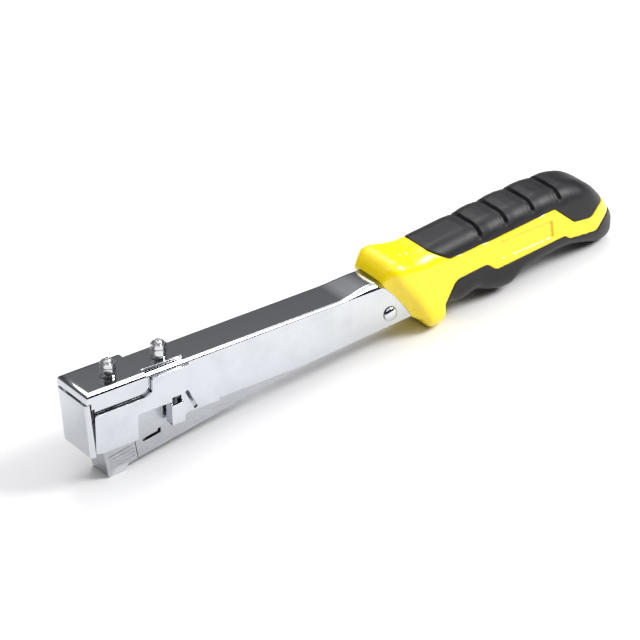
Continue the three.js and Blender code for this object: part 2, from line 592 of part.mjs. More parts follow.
function magazineChannel() {
  const above = trayBottom + tray.sheet;
  const hollow = box(trayFront - 1, tray.rear + 20, -trayInner, trayInner, above, 60);
  const earGap = box(-tray.earRadius - 4, tray.rear + 20, -trayInner, trayInner, -20, 60);
  const rivetHole = bar('y', 0, 0, pivot.radius + BORE_CLEARANCE, -20, 20);
  const stop = lugPlace();
  const lugHole = bar('y', stop.x, stop.z, lug.radius + BORE_CLEARANCE, -20, 20);
  return cut(trayOutline(tray.half), hollow, earGap, rivetHole, lugHole, jSlot());
}

function lugPlace() {
  return inMagazine(lugX, lugRestZ, tilt);
}

function stopLug(side) {
  const { x, z } = lugPlace();
  const span = (a, b) => [side * a, side * b].sort((p, q) => p - q);
  const shank = bar('y', x, z, lug.radius, ...span(lugInner, lugOuter));
  const head = bar('y', x, z, lug.headRadius, ...span(tray.half + GAP, tray.half + GAP + lug.headThick));
  return union(shank, head);
}

// Die-cast nose: a foot and a low front lip with the staple throat between them, open above for the driver blade.
function noseCasting() {
  const n = nose;
  const side = polygon([
    [noseFront, noseFoot + 1], [noseFront + n.toe, noseFoot], [noseFront + n.footLength, noseFoot], [noseFront + n.footLength + n.footSlope, trayBottom],
    [noseRear, trayBottom], [noseRear, n.top - 2], [noseRear - 3, n.top], [noseFront + 2, n.top], [noseFront, n.top - 4],
  ]);
  const body = throughY(side, -tray.half, tray.half);
  const frontOpen = box(noseFront - 1, noseFront + n.wall + 0.01, -noseInner, noseInner, n.lipTop, n.top + 1);
  const inside = box(railFront - 0.6, noseRear + 1, -noseInner, noseInner, noseFloor, n.top + 1);
  const throat = box(noseFront + n.wall, railFront, -noseInner, noseInner, noseFoot - 1, n.top + 1);
  const grooves = [];
  for (let i = 0; i < n.ribs; i += 1) {
    const z = n.ribFirst - i * n.ribPitch;
    for (const out of [-1, 1]) {
      const ys = [out * (tray.half - n.ribDepth), out * (tray.half + 1)].sort((a, b) => a - b);
      grooves.push(box(noseFront + n.ribFrom + i * 0.3, noseFront + n.ribTo, ...ys, z - n.ribWidth / 2, z + n.ribWidth / 2));
    }
  }
  return cut(body, frontOpen, inside, throat, ...grooves);
}

function nosePin() {
  return bar('y', pinX, tray.jZ, nose.pinRadius, 0.5 - tray.half, tray.half - 0.5, 14);
}

function stapleRail() {
  const outside = box(railFront + GAP, rail.rear, -railHalf, railHalf, railBottom, rail.top);
  const inner = railHalf - rail.sheet;
  const inside = box(railFront - 1, rail.rear + 1, -inner, inner, railBottom - 1, rail.top - rail.sheet);
  const pinHole = bar('y', pinX, tray.jZ, nose.pinRadius + BORE_CLEARANCE, -20, 20, 14);
  return cut(outside, inside, pinHole);
}

function pusherSaddle() {
  const front = pusherFront;
  const rear = pusherRear;
  const crownBottom = rail.top + GAP;
  const skirt = tray.jZ + nose.pinRadius + GAP;
  const shell = box(front, rear, -pusherHalf, pusherHalf, skirt, crownBottom + pusher.crown);
  const room = box(front - 1, rear + 1, -railHalf - GAP, railHalf + GAP, skirt - 1, crownBottom);
  const upright = box(rear - pusher.lugThick, rear, -pusher.lugHalf, pusher.lugHalf, crownBottom + 0.5, pusher.lugTop);
  return cut(union(cut(shell, room), upright), bar('x', 0, rod.z, rod.radius + BORE_CLEARANCE, front - 1, rear + 1));
}

function guideRod() {
  return bar('x', 0, rod.z, rod.radius, noseFront + rod.from, rod.bracketX + rod.bracketThick + 2, 14);
}

function rodBracket() {
  const wall = box(rod.bracketX, rod.bracketX + rod.bracketThick, GAP - trayInner, trayInner - GAP,
    railBottom, rod.bracketTop);
  return cut(wall, bar('x', 0, rod.z, rod.radius + BORE_CLEARANCE, rod.bracketX - 1, rod.bracketX + 5, 14));
}

// Seat for the return spring, welded between the magazine's side walls just above the pusher's path.
function springBridge() {
  return box(bridge.x - bridge.length / 2, bridge.x + bridge.length / 2, GAP - trayInner, trayInner - GAP,
    bridgeBottom, bridgeBottom + bridge.sheet);
}

function pusherCoil() {
  return coil(new THREE.Vector3(pusherRear + GAP, 0, rod.z), new THREE.Vector3(rod.bracketX - GAP, 0, rod.z), pushSpring);
}

// The return spring stands on the bridge and pushes the channel's web, in the tool's frame.
function returnCoil() {
  const seat = bridgeBottom + bridge.sheet + GAP;
  const x = pivot.x + bridge.x * Math.cos(tilt) - seat * Math.sin(tilt);
  const foot = pivot.z + bridge.x * Math.sin(tilt) + seat * Math.cos(tilt) + returnSpring.radius * Math.tan(tilt);
  return coil(new THREE.Vector3(x, 0, foot), new THREE.Vector3(x, 0, -channel.sheet - GAP), returnSpring);
}

// ---------------------------------------------------------------- assembly
function node(name, body, material) {
  const mesh = new THREE.Mesh(geometryOf(body), material);
  mesh.name = name;
  return mesh;
}

const tool = new THREE.Group();
tool.add(
  node('body_channel', bodyChannel(), chrome),
  node('head_cap', headCap(), chrome),
  node('front_cover', frontCover(), chrome),
  node('side_plate_right', sidePlate(-1), chrome),
  node('side_plate_left', sidePlate(1), chrome),
  node('driver_block', driverBlock(), hardSteel),
  node('driver_blade', driverBlade(), hardSteel),
  node('blade_clamp', bladeClamp(), hardSteel),
  node('clamp_screw_right', clampScrew(-1), hardSteel),
  node('clamp_screw_left', clampScrew(1), hardSteel),
  node('pivot_rivet', pivotRivet(), chrome),
  node('pivot_washer_right', pivotWasher(-1), springSteel),
  node('pivot_washer_left', pivotWasher(1), springSteel),
  node('return_spring', returnCoil(), springSteel),
  node('handle_core', handleCore(), yellowPlastic),
  node('top_grip', softGrip(topGripEdge), softBlack),
  node('lower_grip', softGrip(lowerGripEdge), softBlack),
  node('tang_pin', bar('y', tangPin.x, tangPin.z, tangPin.radius, -tangPinHalf, tangPinHalf), hardSteel),
);
for (const [place, x] of studs) {
  const nutFrom = capTop + nut.washerHeight + 2 * GAP;
  tool.add(
    node(`stud_${place}`, studBar(x), chrome),
    node(`lock_washer_${place}`, lockWasher(x), chrome),
    node(`nut_${place}`, hexNut(x, nutFrom, nut.height), chrome),
    node(`jam_nut_${place}`, hexNut(x, nutFrom + nut.height + GAP, nut.jamHeight), chrome),
  );
}

const magazine = new THREE.Group();
magazine.position.set(pivot.x, 0, pivot.z);
magazine.rotation.y = -tilt;
magazine.add(
  node('magazine_channel', magazineChannel(), chrome),
  node('nose_casting', noseCasting(), zincCasting),
  node('nose_pin', nosePin(), hardSteel),
  node('staple_rail', stapleRail(), springSteel),
  node('guide_rod', guideRod(), springSteel),
  node('rod_bracket', rodBracket(), springSteel),
  node('spring_bridge', springBridge(), springSteel),
  node('stop_lug_right', stopLug(-1), hardSteel),
  node('stop_lug_left', stopLug(1), hardSteel),
  node('pusher', pusherSaddle(), springSteel),
  node('pusher_spring', pusherCoil(), springSteel),
);
tool.add(magazine);

// Stand the tool on the nose's toe and the heel of its handle, centred over the origin.
const toe = {
  x: pivot.x + (noseFront + nose.toe) * Math.cos(tilt) - noseFoot * Math.sin(tilt),
  z: pivot.z + (noseFront + nose.toe) * Math.sin(tilt) + noseFoot * Math.cos(tilt),
};
const stance = Math.min(...sections.map(({ x, rake, bottom }) => {
  const low = handlePoint(x, rake, 0, bottom);
  return Math.atan2(low.z - toe.z, low.x - toe.x);
}));
tool.rotation.y = stance;
const bounds = new THREE.Box3().setFromObject(tool, true);
tool.position.set(-(bounds.min.x + bounds.max.x) / 2, 0, -bounds.min.z);

const group = new THREE.Group();
group.add(tool);
export default group;
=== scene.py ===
import json
import math

import bmesh
import bpy
import numpy as np
from mathutils import Matrix, Vector

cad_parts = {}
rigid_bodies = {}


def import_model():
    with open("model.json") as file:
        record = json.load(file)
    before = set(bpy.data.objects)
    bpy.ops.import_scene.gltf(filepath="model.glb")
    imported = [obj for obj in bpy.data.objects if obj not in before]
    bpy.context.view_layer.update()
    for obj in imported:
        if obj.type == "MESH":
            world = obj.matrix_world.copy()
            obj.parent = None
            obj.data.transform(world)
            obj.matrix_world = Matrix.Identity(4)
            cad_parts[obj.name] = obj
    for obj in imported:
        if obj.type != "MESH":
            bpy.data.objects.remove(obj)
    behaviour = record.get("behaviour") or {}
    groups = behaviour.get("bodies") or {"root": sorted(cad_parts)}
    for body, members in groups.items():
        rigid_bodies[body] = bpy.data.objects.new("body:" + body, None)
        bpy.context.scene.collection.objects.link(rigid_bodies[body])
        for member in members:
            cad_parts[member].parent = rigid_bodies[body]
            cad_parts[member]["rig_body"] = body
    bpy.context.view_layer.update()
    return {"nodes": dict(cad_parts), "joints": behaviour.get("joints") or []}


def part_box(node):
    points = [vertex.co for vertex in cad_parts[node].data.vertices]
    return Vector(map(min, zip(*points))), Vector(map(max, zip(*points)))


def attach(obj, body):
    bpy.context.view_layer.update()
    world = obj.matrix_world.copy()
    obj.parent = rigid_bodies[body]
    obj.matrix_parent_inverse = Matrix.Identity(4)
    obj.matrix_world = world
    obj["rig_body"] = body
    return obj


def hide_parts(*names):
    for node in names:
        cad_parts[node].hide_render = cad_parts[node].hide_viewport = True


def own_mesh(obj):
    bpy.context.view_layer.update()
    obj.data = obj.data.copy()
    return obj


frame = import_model()


# ---------------------------------------------------------------- where the tool stands
# The tool rests on the toe of its nose and on the heel of its handle. Its own frame runs from the striking
# head to the handle, and the magazine hangs from the rivet at an angle below it. Both frames come from the
# packed joints.
MM = 0.001
hinge = next(j for j in frame["joints"] if j["name"] == "magazine_pivot")
slide = next(j for j in frame["joints"] if j["name"] == "pusher_slide")
rivet_x, rivet_z = 179.7, -17.0
hang = math.radians(9.43)
magazine_pitch = -math.atan2(slide["axis"][2], slide["axis"][0])
stance = hang + magazine_pitch
tool_frame = (
    Matrix.Translation(hinge["pos_m"])
    @ Matrix.Rotation(stance, 4, "Y")
    @ Matrix.Translation((-rivet_x * MM, 0, -rivet_z * MM))
)
magazine_frame = Matrix.Translation(hinge["pos_m"]) @ Matrix.Rotation(magazine_pitch, 4, "Y")


# ---------------------------------------------------------------- channel, head cap, cover and side plates
# Cold-rolled steel sheet, 1.2 to 1.9 mm thick, blanked and folded in a press, then polished and nickel-chrome
# plated. The cap is clamped on by the two studs, the plates and the cover are spot-welded inside the folds.
def paint(code):
    """A colour's sRGB hex code as linear RGBA."""
    parts = [int(code[i : i + 2], 16) / 255 for i in (1, 3, 5)]
    return (*[c / 12.92 if c <= 0.04045 else ((c + 0.055) / 1.055) ** 2.4 for c in parts], 1)


def add(tree, kind, inputs=(), **settings):
    """Adds a node. An input given as a socket is linked, and anything else is its value."""
    made = tree.nodes.new(kind)
    for name, value in settings.items():
        setattr(made, name, value)
    for name, value in dict(inputs).items():
        if isinstance(value, bpy.types.NodeSocket):
            tree.links.new(value, made.inputs[name])
        else:
            made.inputs[name].default_value = value
    return made


def repeats(size):
    """How often a pattern repeats in a metre, from the size of one repeat in mm."""
    return 1 / (size * MM)


def started(name, metallic=0):
    """A new material, with its tree, its shader and each point's place on the object."""
    material = bpy.data.materials.new(name)
    material.use_nodes = True
    tree = material.node_tree
    shader = tree.nodes["Principled BSDF"]
    shader.inputs["Metallic"].default_value = metallic
    return material, tree, shader, add(tree, "ShaderNodeTexCoord").outputs["Object"]


def surfaced(tree, shader, colour, gloss, height, strength, depth):
    """Links a shader's colour and roughness, and gives it a relief whose depth is in mm."""
    relief = add(tree, "ShaderNodeBump", {"Height": height, "Strength": strength, "Distance": depth * MM})
    tree.links.new(colour, shader.inputs["Base Color"])
    tree.links.new(gloss, shader.inputs["Roughness"])
    tree.links.new(relief.outputs[0], shader.inputs["Normal"])


# Bright nickel-chrome over polished sheet: a clear mirror that the rolling grain stretches along the fold, with
# finger smudges that dull it in patches and hairline scratches from handling.
bright_chrome, tree, shader, place = started("nickel_chrome_plate_on_polished_rolled_sheet", metallic=1)
streaks = [repeats(size) for size in (16.7, 0.625, 0.625)]
hairlines = [repeats(size) for size in (11.1, 0.385, 0.385)]
grain_lay = add(tree, "ShaderNodeMapping", {"Vector": place, "Scale": streaks})
grain = add(
    tree, "ShaderNodeTexNoise", {"Vector": grain_lay.outputs[0], "Scale": 1, "Detail": 3, "Roughness": 0.55},
)
smudge = add(
    tree, "ShaderNodeTexNoise", {"Vector": place, "Scale": repeats(14.3), "Detail": 4, "Roughness": 0.62},
)
smudge_mask = add(
    tree, "ShaderNodeMapRange", {"Value": smudge.outputs["Fac"], "From Min": 0.46, "From Max": 0.72},
)
scratch_lay = add(
    tree, "ShaderNodeMapping", {"Vector": place, "Rotation": (0, 0.5, 0.35), "Scale": hairlines},
)
scratch = add(tree, "ShaderNodeTexNoise", {"Vector": scratch_lay.outputs[0], "Scale": 1, "Detail": 2})
scratch_mask = add(
    tree, "ShaderNodeMapRange", {"Value": scratch.outputs["Fac"], "From Min": 0.7, "From Max": 0.78},
)
dull = add(tree, "ShaderNodeMapRange", {"Value": smudge_mask.outputs[0], "To Min": 0.08, "To Max": 0.12})
gloss = add(
    tree, "ShaderNodeMath", {0: scratch_mask.outputs[0], 1: 0.14, 2: dull.outputs[0]},
    operation="MULTIPLY_ADD",
)
tone = add(
    tree, "ShaderNodeMix", {"Factor": smudge_mask.outputs[0], "A": paint("#cbced3"), "B": paint("#c2c5ca")},
    data_type="RGBA",
)
lift = add(
    tree, "ShaderNodeMath", {0: grain.outputs["Fac"], 1: 0.4, 2: scratch.outputs["Fac"]},
    operation="MULTIPLY_ADD",
)
surfaced(tree, shader, tone.outputs["Result"], gloss.outputs[0], lift.outputs[0], strength=0.05, depth=0.04)

# The loose triangles of a CAD node meet within a few micrometres, and the facets of its round bends turn by
# less than 50 degrees.
meet_within, flat_within, edge_above = 0.004, 0.8, 50


def finished_copy(node, name, material, edge=0.22, segments=3):
    """A clean copy of a CAD node: its triangles joined to flat faces, its edges broken by a round, in mm."""
    source = frame["nodes"][node]
    mesh = bpy.data.meshes.new(name)
    shape = bmesh.new()
    shape.from_mesh(source.data)
    bmesh.ops.remove_doubles(shape, verts=shape.verts, dist=meet_within * MM)
    bmesh.ops.dissolve_limit(
        shape, angle_limit=math.radians(flat_within), verts=shape.verts, edges=shape.edges,
    )
    for face in shape.faces:
        face.smooth = True
    shape.to_mesh(mesh)
    shape.free()
    piece = bpy.data.objects.new(name, mesh)
    bpy.context.scene.collection.objects.link(piece)
    mesh.materials.clear()
    mesh.materials.append(material)
    if edge:
        broken = piece.modifiers.new("broken_edge", "BEVEL")
        broken.width, broken.segments = edge * MM, segments
        broken.limit_method, broken.angle_limit = "ANGLE", math.radians(edge_above)
        broken.miter_outer = "MITER_ARC"
    flats = piece.modifiers.new("flat_faces", "WEIGHTED_NORMAL")
    flats.weight, flats.keep_sharp = 60, False
    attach(piece, source["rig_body"])
    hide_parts(node)
    return piece


for node, edge in [
    ("body_channel", 0.3), ("head_cap", 0.35), ("front_cover", 0.25), ("side_plate_right", 0.3),
    ("side_plate_left", 0.3),
]:
    finished_copy(node, node + "_sheet", bright_chrome, edge)

# Satin nickel: the same plate over unpolished strip, greyer and softer, as the magazine is hidden when it is
# folded away.
satin_nickel, tree, shader, place = started("satin_nickel_plate_on_rolled_strip", metallic=1)
streaks = [repeats(size) for size in (14.3, 0.526, 0.526)]
grain_lay = add(tree, "ShaderNodeMapping", {"Vector": place, "Scale": streaks})
grain = add(
    tree, "ShaderNodeTexNoise", {"Vector": grain_lay.outputs[0], "Scale": 1, "Detail": 4, "Roughness": 0.6},
)
cloud = add(tree, "ShaderNodeTexNoise", {"Vector": place, "Scale": repeats(9.1), "Detail": 3})
tone = add(
    tree, "ShaderNodeMix", {"Factor": cloud.outputs["Fac"], "A": paint("#b3b5bb"), "B": paint("#c4c6cb")},
    data_type="RGBA",
)
gloss = add(tree, "ShaderNodeMapRange", {"Value": grain.outputs["Fac"], "To Min": 0.2, "To Max": 0.34})
surfaced(
    tree, shader, tone.outputs["Result"], gloss.outputs[0], grain.outputs["Fac"], strength=0.1, depth=0.03,
)
finished_copy("magazine_channel", "magazine_channel_sheet", satin_nickel, 0.22)


# ---------------------------------------------------------------- nose
# Zinc alloy, die-cast and left as it comes from the tool: matte grey with a fine grain, four ribs on each
# cheek, and brighter where the foot rubs the work. A pin through the magazine's slots holds it.
zinc_casting, tree, shader, place = started("die_cast_zinc_alloy_as_cast", metallic=1)
skin = add(
    tree, "ShaderNodeTexNoise", {"Vector": place, "Scale": repeats(0.385), "Detail": 3, "Roughness": 0.6},
)
flow = add(
    tree, "ShaderNodeTexNoise", {"Vector": place, "Scale": repeats(4.17), "Detail": 5, "Distortion": 0.8},
)
tone = add(
    tree, "ShaderNodeMix", {"Factor": flow.outputs["Fac"], "A": paint("#a9abb0"), "B": paint("#c9cbd0")},
    data_type="RGBA",
)
edges = add(tree, "ShaderNodeNewGeometry").outputs["Pointiness"]
rubbed = add(tree, "ShaderNodeMapRange", {"Value": edges, "From Min": 0.53, "From Max": 0.62})
worn = add(
    tree, "ShaderNodeMix", {"Factor": rubbed.outputs[0], "A": tone.outputs["Result"], "B": paint("#dfe0e3")},
    data_type="RGBA",
)
gloss = add(tree, "ShaderNodeMapRange", {"Value": flow.outputs["Fac"], "To Min": 0.3, "To Max": 0.42})
surfaced(
    tree, shader, worn.outputs["Result"], gloss.outputs[0], skin.outputs["Fac"], strength=0.35, depth=0.06,
)
finished_copy("nose_casting", "nose_die_casting", zinc_casting, 0.22)


# ---------------------------------------------------------------- driver, clamp and small hardened pieces
# Tool steel, hardened and oil-blacked: the block under the cap, the blade that drives the staple, the plate and
# screws that hold it, the pin through the nose, the stop lugs and the pin in the handle.
black_steel, tree, shader, place = started("hardened_tool_steel_oil_blacked", metallic=1)
wheel_marks = [repeats(size) for size in (0.417, 0.417, 8.33)]
ground_lay = add(tree, "ShaderNodeMapping", {"Vector": place, "Scale": wheel_marks})
ground = add(tree, "ShaderNodeTexNoise", {"Vector": ground_lay.outputs[0], "Scale": 1, "Detail": 3})
heat = add(tree, "ShaderNodeTexNoise", {"Vector": place, "Scale": repeats(6.25), "Detail": 3})
tone = add(
    tree, "ShaderNodeMix", {"Factor": heat.outputs["Fac"], "A": paint("#4b4d52"), "B": paint("#7d7f84")},
    data_type="RGBA",
)
gloss = add(tree, "ShaderNodeMapRange", {"Value": ground.outputs["Fac"], "To Min": 0.24, "To Max": 0.44})
surfaced(
    tree, shader, tone.outputs["Result"], gloss.outputs[0], ground.outputs["Fac"], strength=0.15, depth=0.03,
)
for node, edge in [
    ("driver_block", 0.12), ("driver_blade", 0.12), ("blade_clamp", 0.12), ("nose_pin", 0.12),
    ("tang_pin", 0.12), ("stop_lug_right", 0.12), ("stop_lug_left", 0.12), ("clamp_screw_right", 0.15),
    ("clamp_screw_left", 0.15),
]:
    finished_copy(node, node + "_blacked", black_steel, edge, 2)


# ---------------------------------------------------------------- staple rail, pusher, rod and welded plates
# Plain spring-steel strip, blanked and folded, with the satin of the rolling mill and a thin film of oil. The
# pusher rides over the rail and the rod guides it.
strip_steel, tree, shader, place = started("rolled_spring_steel_strip_oiled", metallic=1)
streaks = [repeats(size) for size in (11.1, 0.455, 0.455)]
rolled_lay = add(tree, "ShaderNodeMapping", {"Vector": place, "Scale": streaks})
rolled = add(tree, "ShaderNodeTexNoise", {"Vector": rolled_lay.outputs[0], "Scale": 1, "Detail": 4})
oil = add(tree, "ShaderNodeTexNoise", {"Vector": place, "Scale": repeats(7.7), "Detail": 3})
tone = add(
    tree, "ShaderNodeMix", {"Factor": oil.outputs["Fac"], "A": paint("#85878b"), "B": paint("#a9abae")},
    data_type="RGBA",
)
gloss = add(tree, "ShaderNodeMapRange", {"Value": rolled.outputs["Fac"], "To Min": 0.2, "To Max": 0.38})
surfaced(
    tree, shader, tone.outputs["Result"], gloss.outputs[0], rolled.outputs["Fac"], strength=0.12, depth=0.03,
)
for node in [
    "staple_rail", "pusher", "rod_bracket", "spring_bridge", "guide_rod", "pivot_washer_right",
    "pivot_washer_left",
]:
    finished_copy(node, node + "_strip", strip_steel, 0.15, 2)


# ---------------------------------------------------------------- studs, washers and nuts
# M4 studs screwed into the driver block, each with a split lock washer, a full nut and a thin jam nut above it.
# Cold-formed steel, bright zinc plated: the plate is a little softer than the chrome and finely clouded.
bright_zinc, tree, shader, place = started("bright_zinc_plate_on_cold_formed_steel", metallic=1)
cloud = add(tree, "ShaderNodeTexNoise", {"Vector": place, "Scale": repeats(2.38), "Detail": 4})
fine = add(tree, "ShaderNodeTexNoise", {"Vector": place, "Scale": repeats(0.238), "Detail": 2})
tone = add(
    tree, "ShaderNodeMix", {"Factor": cloud.outputs["Fac"], "A": paint("#c3c6ca"), "B": paint("#e0e1e0")},
    data_type="RGBA",
)
gloss = add(tree, "ShaderNodeMapRange", {"Value": cloud.outputs["Fac"], "To Min": 0.1, "To Max": 0.22})
surfaced(
    tree, shader, tone.outputs["Result"], gloss.outputs[0], fine.outputs["Fac"], strength=0.1, depth=0.03,
)


def turned(name, rings, place_on, material, closed=False):
    """A body of round or hexagonal rings: each is a list of (x, y, z) in mm, joined to the next."""
    count = len(rings[0])
    shape = bmesh.new()
    verts = [[shape.verts.new(place_on @ (Vector(p) * MM)) for p in ring] for ring in rings]
    pairs = list(zip(verts, verts[1:] + ([verts[0]] if closed else [])))
    for low, high in pairs[: None if closed else len(rings) - 1]:
        for i in range(count):
            j = (i + 1) % count
            shape.faces.new((low[i], low[j], high[j], high[i]))
    if not closed:
        shape.faces.new(verts[0][::-1])
        shape.faces.new(verts[-1])
    bmesh.ops.remove_doubles(shape, verts=shape.verts, dist=0.0005 * MM)
    bmesh.ops.recalc_face_normals(shape, faces=shape.faces)
    for face in shape.faces:
        face.smooth = True
    mesh = bpy.data.meshes.new(name)
    shape.to_mesh(mesh)
    shape.free()
    mesh.set_sharp_from_angle(angle=math.radians(28))
    piece = bpy.data.objects.new(name, mesh)
    bpy.context.scene.collection.objects.link(piece)
    mesh.materials.append(material)
    return piece


def circle(radius, z, count=96, around=(0, 0)):
    """A level ring of points, in mm."""
    turns = [2 * math.pi * i / count for i in range(count)]
    return [(around[0] + radius * math.cos(t), around[1] + radius * math.sin(t), z) for t in turns]


def hexagon(flats, z, chamfer_radius, count=96):
    """A level hexagonal ring whose corners are turned off at a radius, in mm."""
    ring = []
    for i in range(count):
        turn = 2 * math.pi * i / count
        from_flat = (turn + math.pi / 6) % (math.pi / 3) - math.pi / 6
        reach = min(flats / 2 / math.cos(from_flat), chamfer_radius)
        ring.append((reach * math.cos(turn), reach * math.sin(turn), z))
    return ring


nut_flats, full_height, thin_height, bore = 7.0, 3.2, 2.2, 2.25
bevel_width, bevel_depth = 0.35, 0.3
corner = nut_flats / math.sqrt(3)
# how far in from a nut's face each ring lies, and the share of the corner's radius that is left there
corner_rounding = [(0.0, 0.93), (0.12, 0.955), (0.3, 0.985), (0.5, 1.02)]
stud_length, crest, root, pitch, thread_turns = 19.8, 2.0, 1.62, 0.7, 26
crest_from, crest_to = 0.42, 0.58  # shares of the pitch
# radius, and height above the foot or depth below the head, of the rings that end a stud
foot_rings = [(1.5, 0.0), (1.9, 0.4), (root, 0.6)]
head_rings = [(1.9, 0.5), (1.45, 0.0), (1.15, 0.0), (1.0, 0.5)]
for where in ["front", "rear"]:
    for node, name, height in [
        (f"nut_{where}", f"full_nut_{where}", full_height),
        (f"jam_nut_{where}", f"thin_nut_{where}", thin_height),
    ]:
        low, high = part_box(node)
        half = height / 2
        upright = Matrix.Translation((low + high) / 2) @ Matrix.Rotation(stance, 4, "Y")
        lower = [hexagon(nut_flats, -half + rise, corner * share) for rise, share in corner_rounding]
        upper = [hexagon(nut_flats, half - rise, corner * share) for rise, share in corner_rounding]
        face = [circle(bore + bevel_width, half), circle(bore, half - bevel_depth)]
        under = [circle(bore, -half + bevel_depth), circle(bore + bevel_width, -half)]
        nut = turned(name, lower + upper[::-1] + face + under, upright, bright_zinc, closed=True)
        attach(nut, "tool_body")
        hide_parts(node)
    low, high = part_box(f"stud_{where}")
    upright = Matrix.Translation((low + high) / 2) @ Matrix.Rotation(stance, 4, "Y")
    foot, head = -stud_length / 2, stud_length / 2
    rings = [circle(ring_radius, foot + rise) for ring_radius, rise in foot_rings]
    for i in range(thread_turns):
        z = foot + foot_rings[-1][1] + pitch * i
        rings += [circle(root, z), circle(crest, z + pitch * crest_from), circle(crest, z + pitch * crest_to)]
    rings += [circle(ring_radius, head - drop) for ring_radius, drop in head_rings]
    stud = turned(f"threaded_stud_{where}", rings, upright, bright_zinc)
    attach(stud, "tool_body")
    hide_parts(f"stud_{where}")
    finished_copy(f"lock_washer_{where}", f"split_washer_{where}", bright_zinc, 0.18, 2)


# ---------------------------------------------------------------- pivot rivet
# A solid steel rivet with a low polished dome at each end, set through the channel and the magazine's ears.
head_radius, head_height, shank_radius, under_head = 4.0, 1.9, 2.5, 10.8
rim_height, rim_inset, dome_steps, tip_radius = 0.12, 0.25, 12, 0.02
profile = []
for i in range(dome_steps + 1):
    angle = math.radians(90 * i / dome_steps)
    profile.append((
        max(tip_radius, head_radius * math.sin(angle)), under_head + head_height * math.cos(angle),
    ))
profile += [
    (head_radius, under_head + rim_height), (head_radius - rim_inset, under_head), (shank_radius, under_head),
]
profile += [(r, -z) for r, z in reversed(profile)]
across = Matrix.Translation(hinge["pos_m"]) @ Matrix.Rotation(math.radians(90), 4, "X")
rivet = turned("domed_pivot_rivet", [circle(r, z) for r, z in profile], across, bright_chrome)
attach(rivet, "tool_body")
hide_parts("pivot_rivet")


# ---------------------------------------------------------------- springs
# Patented carbon spring wire, cold-coiled. The return spring stands between the magazine and the channel; the
# long light one lies round the rod and pushes the staples. One tree of nodes winds both.
winding = bpy.data.node_groups.new("wound_spring", "GeometryNodeTree")
for label, kind in [("Radius", "Float"), ("Wire", "Float"), ("Turns", "Float"), ("Length", "Float")]:
    winding.interface.new_socket(label, in_out="INPUT", socket_type="NodeSocket" + kind)
winding.interface.new_socket("Steel", in_out="INPUT", socket_type="NodeSocketMaterial")
winding.interface.new_socket("Geometry", in_out="OUTPUT", socket_type="NodeSocketGeometry")
asked = winding.nodes.new("NodeGroupInput").outputs
helix = add(winding, "GeometryNodeCurveSpiral", {
    "Resolution": 48, "Rotations": asked["Turns"], "Start Radius": asked["Radius"],
    "End Radius": asked["Radius"], "Height": asked["Length"],
})
round_wire = add(winding, "GeometryNodeCurvePrimitiveCircle", {"Resolution": 12, "Radius": asked["Wire"]})
coil = add(winding, "GeometryNodeCurveToMesh", {
    "Curve": helix.outputs[0], "Profile Curve": round_wire.outputs[0], "Fill Caps": True,
})
smooth = add(winding, "GeometryNodeSetShadeSmooth", {"Geometry": coil.outputs[0]})
real = add(winding, "GeometryNodeRealizeInstances", {"Geometry": smooth.outputs[0]})
steel = add(winding, "GeometryNodeSetMaterial", {"Geometry": real.outputs[0], "Material": asked["Steel"]})
winding.links.new(steel.outputs[0], winding.nodes.new("NodeGroupOutput").inputs["Geometry"])


def wound(name, values, at):
    """Winds one spring and lays it along the Z axis of a frame."""
    holder = bpy.data.objects.new(name + "_winding", bpy.data.meshes.new(name + "_winding"))
    bpy.context.scene.collection.objects.link(holder)
    nodes = holder.modifiers.new("winding", "NODES")
    nodes.node_group = winding
    for item in winding.interface.items_tree:
        if item.in_out == "INPUT":
            nodes[item.identifier] = values[item.name]
    mesh = bpy.data.meshes.new_from_object(holder.evaluated_get(bpy.context.evaluated_depsgraph_get()))
    bpy.data.objects.remove(holder)
    mesh.transform(at)
    mesh.name = name
    piece = bpy.data.objects.new(name, mesh)
    bpy.context.scene.collection.objects.link(piece)
    return piece


web_under, bridge_top, bridge_x = -1.7, 16.8, -80.0
wire, radius, coils, seat_gap = 0.5, 3.9, 3.0, 1.0
seat = magazine_frame @ (Vector((bridge_x, 0, bridge_top)) * MM)
top = tool_frame @ Vector(((tool_frame.inverted() @ seat).x, 0, web_under * MM))
stretch = (top - seat).length / MM - 2 * wire - seat_gap
stand = tool_frame.to_quaternion().to_matrix().to_4x4()
stand.translation = seat + stand.to_3x3() @ Vector((0, 0, (wire + seat_gap) * MM))
return_coil = wound("return_coil", {
    "Radius": radius * MM, "Wire": wire * MM, "Turns": coils, "Length": stretch * MM, "Steel": strip_steel,
}, stand)
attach(return_coil, "tool_body")
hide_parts("return_spring")
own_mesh(return_coil)

rod_z, wire, radius, coils = 12.3, 0.3, 2.1, 34.0
low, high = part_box("pusher_spring")
front, rear = low.x, high.x
along = Vector(slide["axis"])
start = magazine_frame @ (Vector((0, 0, rod_z)) * MM)
coil_from = start + along * ((front - start.x) / along.x + 2 * wire * MM)
coil_to = start + along * ((rear - start.x) / along.x - 2 * wire * MM)
lie = along.to_track_quat("Z", "Y").to_matrix().to_4x4()
lie.translation = coil_from
pusher_coil = wound("pusher_coil", {
    "Radius": radius * MM, "Wire": wire * MM, "Turns": coils, "Length": (coil_to - coil_from).length,
    "Steel": strip_steel,
}, lie)
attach(pusher_coil, "magazine")
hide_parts("pusher_spring")
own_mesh(pusher_coil)


# ---------------------------------------------------------------- handle: yellow moulding and two soft grips
# A stiff yellow core moulded round the channel's tang, with a flared guard against the hand, and two black
# thermoplastic-rubber grips moulded over it, flush and with a fine seam. One skin is lofted, then cut into
# the three.
web_depth = 22.887  # depth of the channel's sides where they enter the guard
half_channel = 10.5
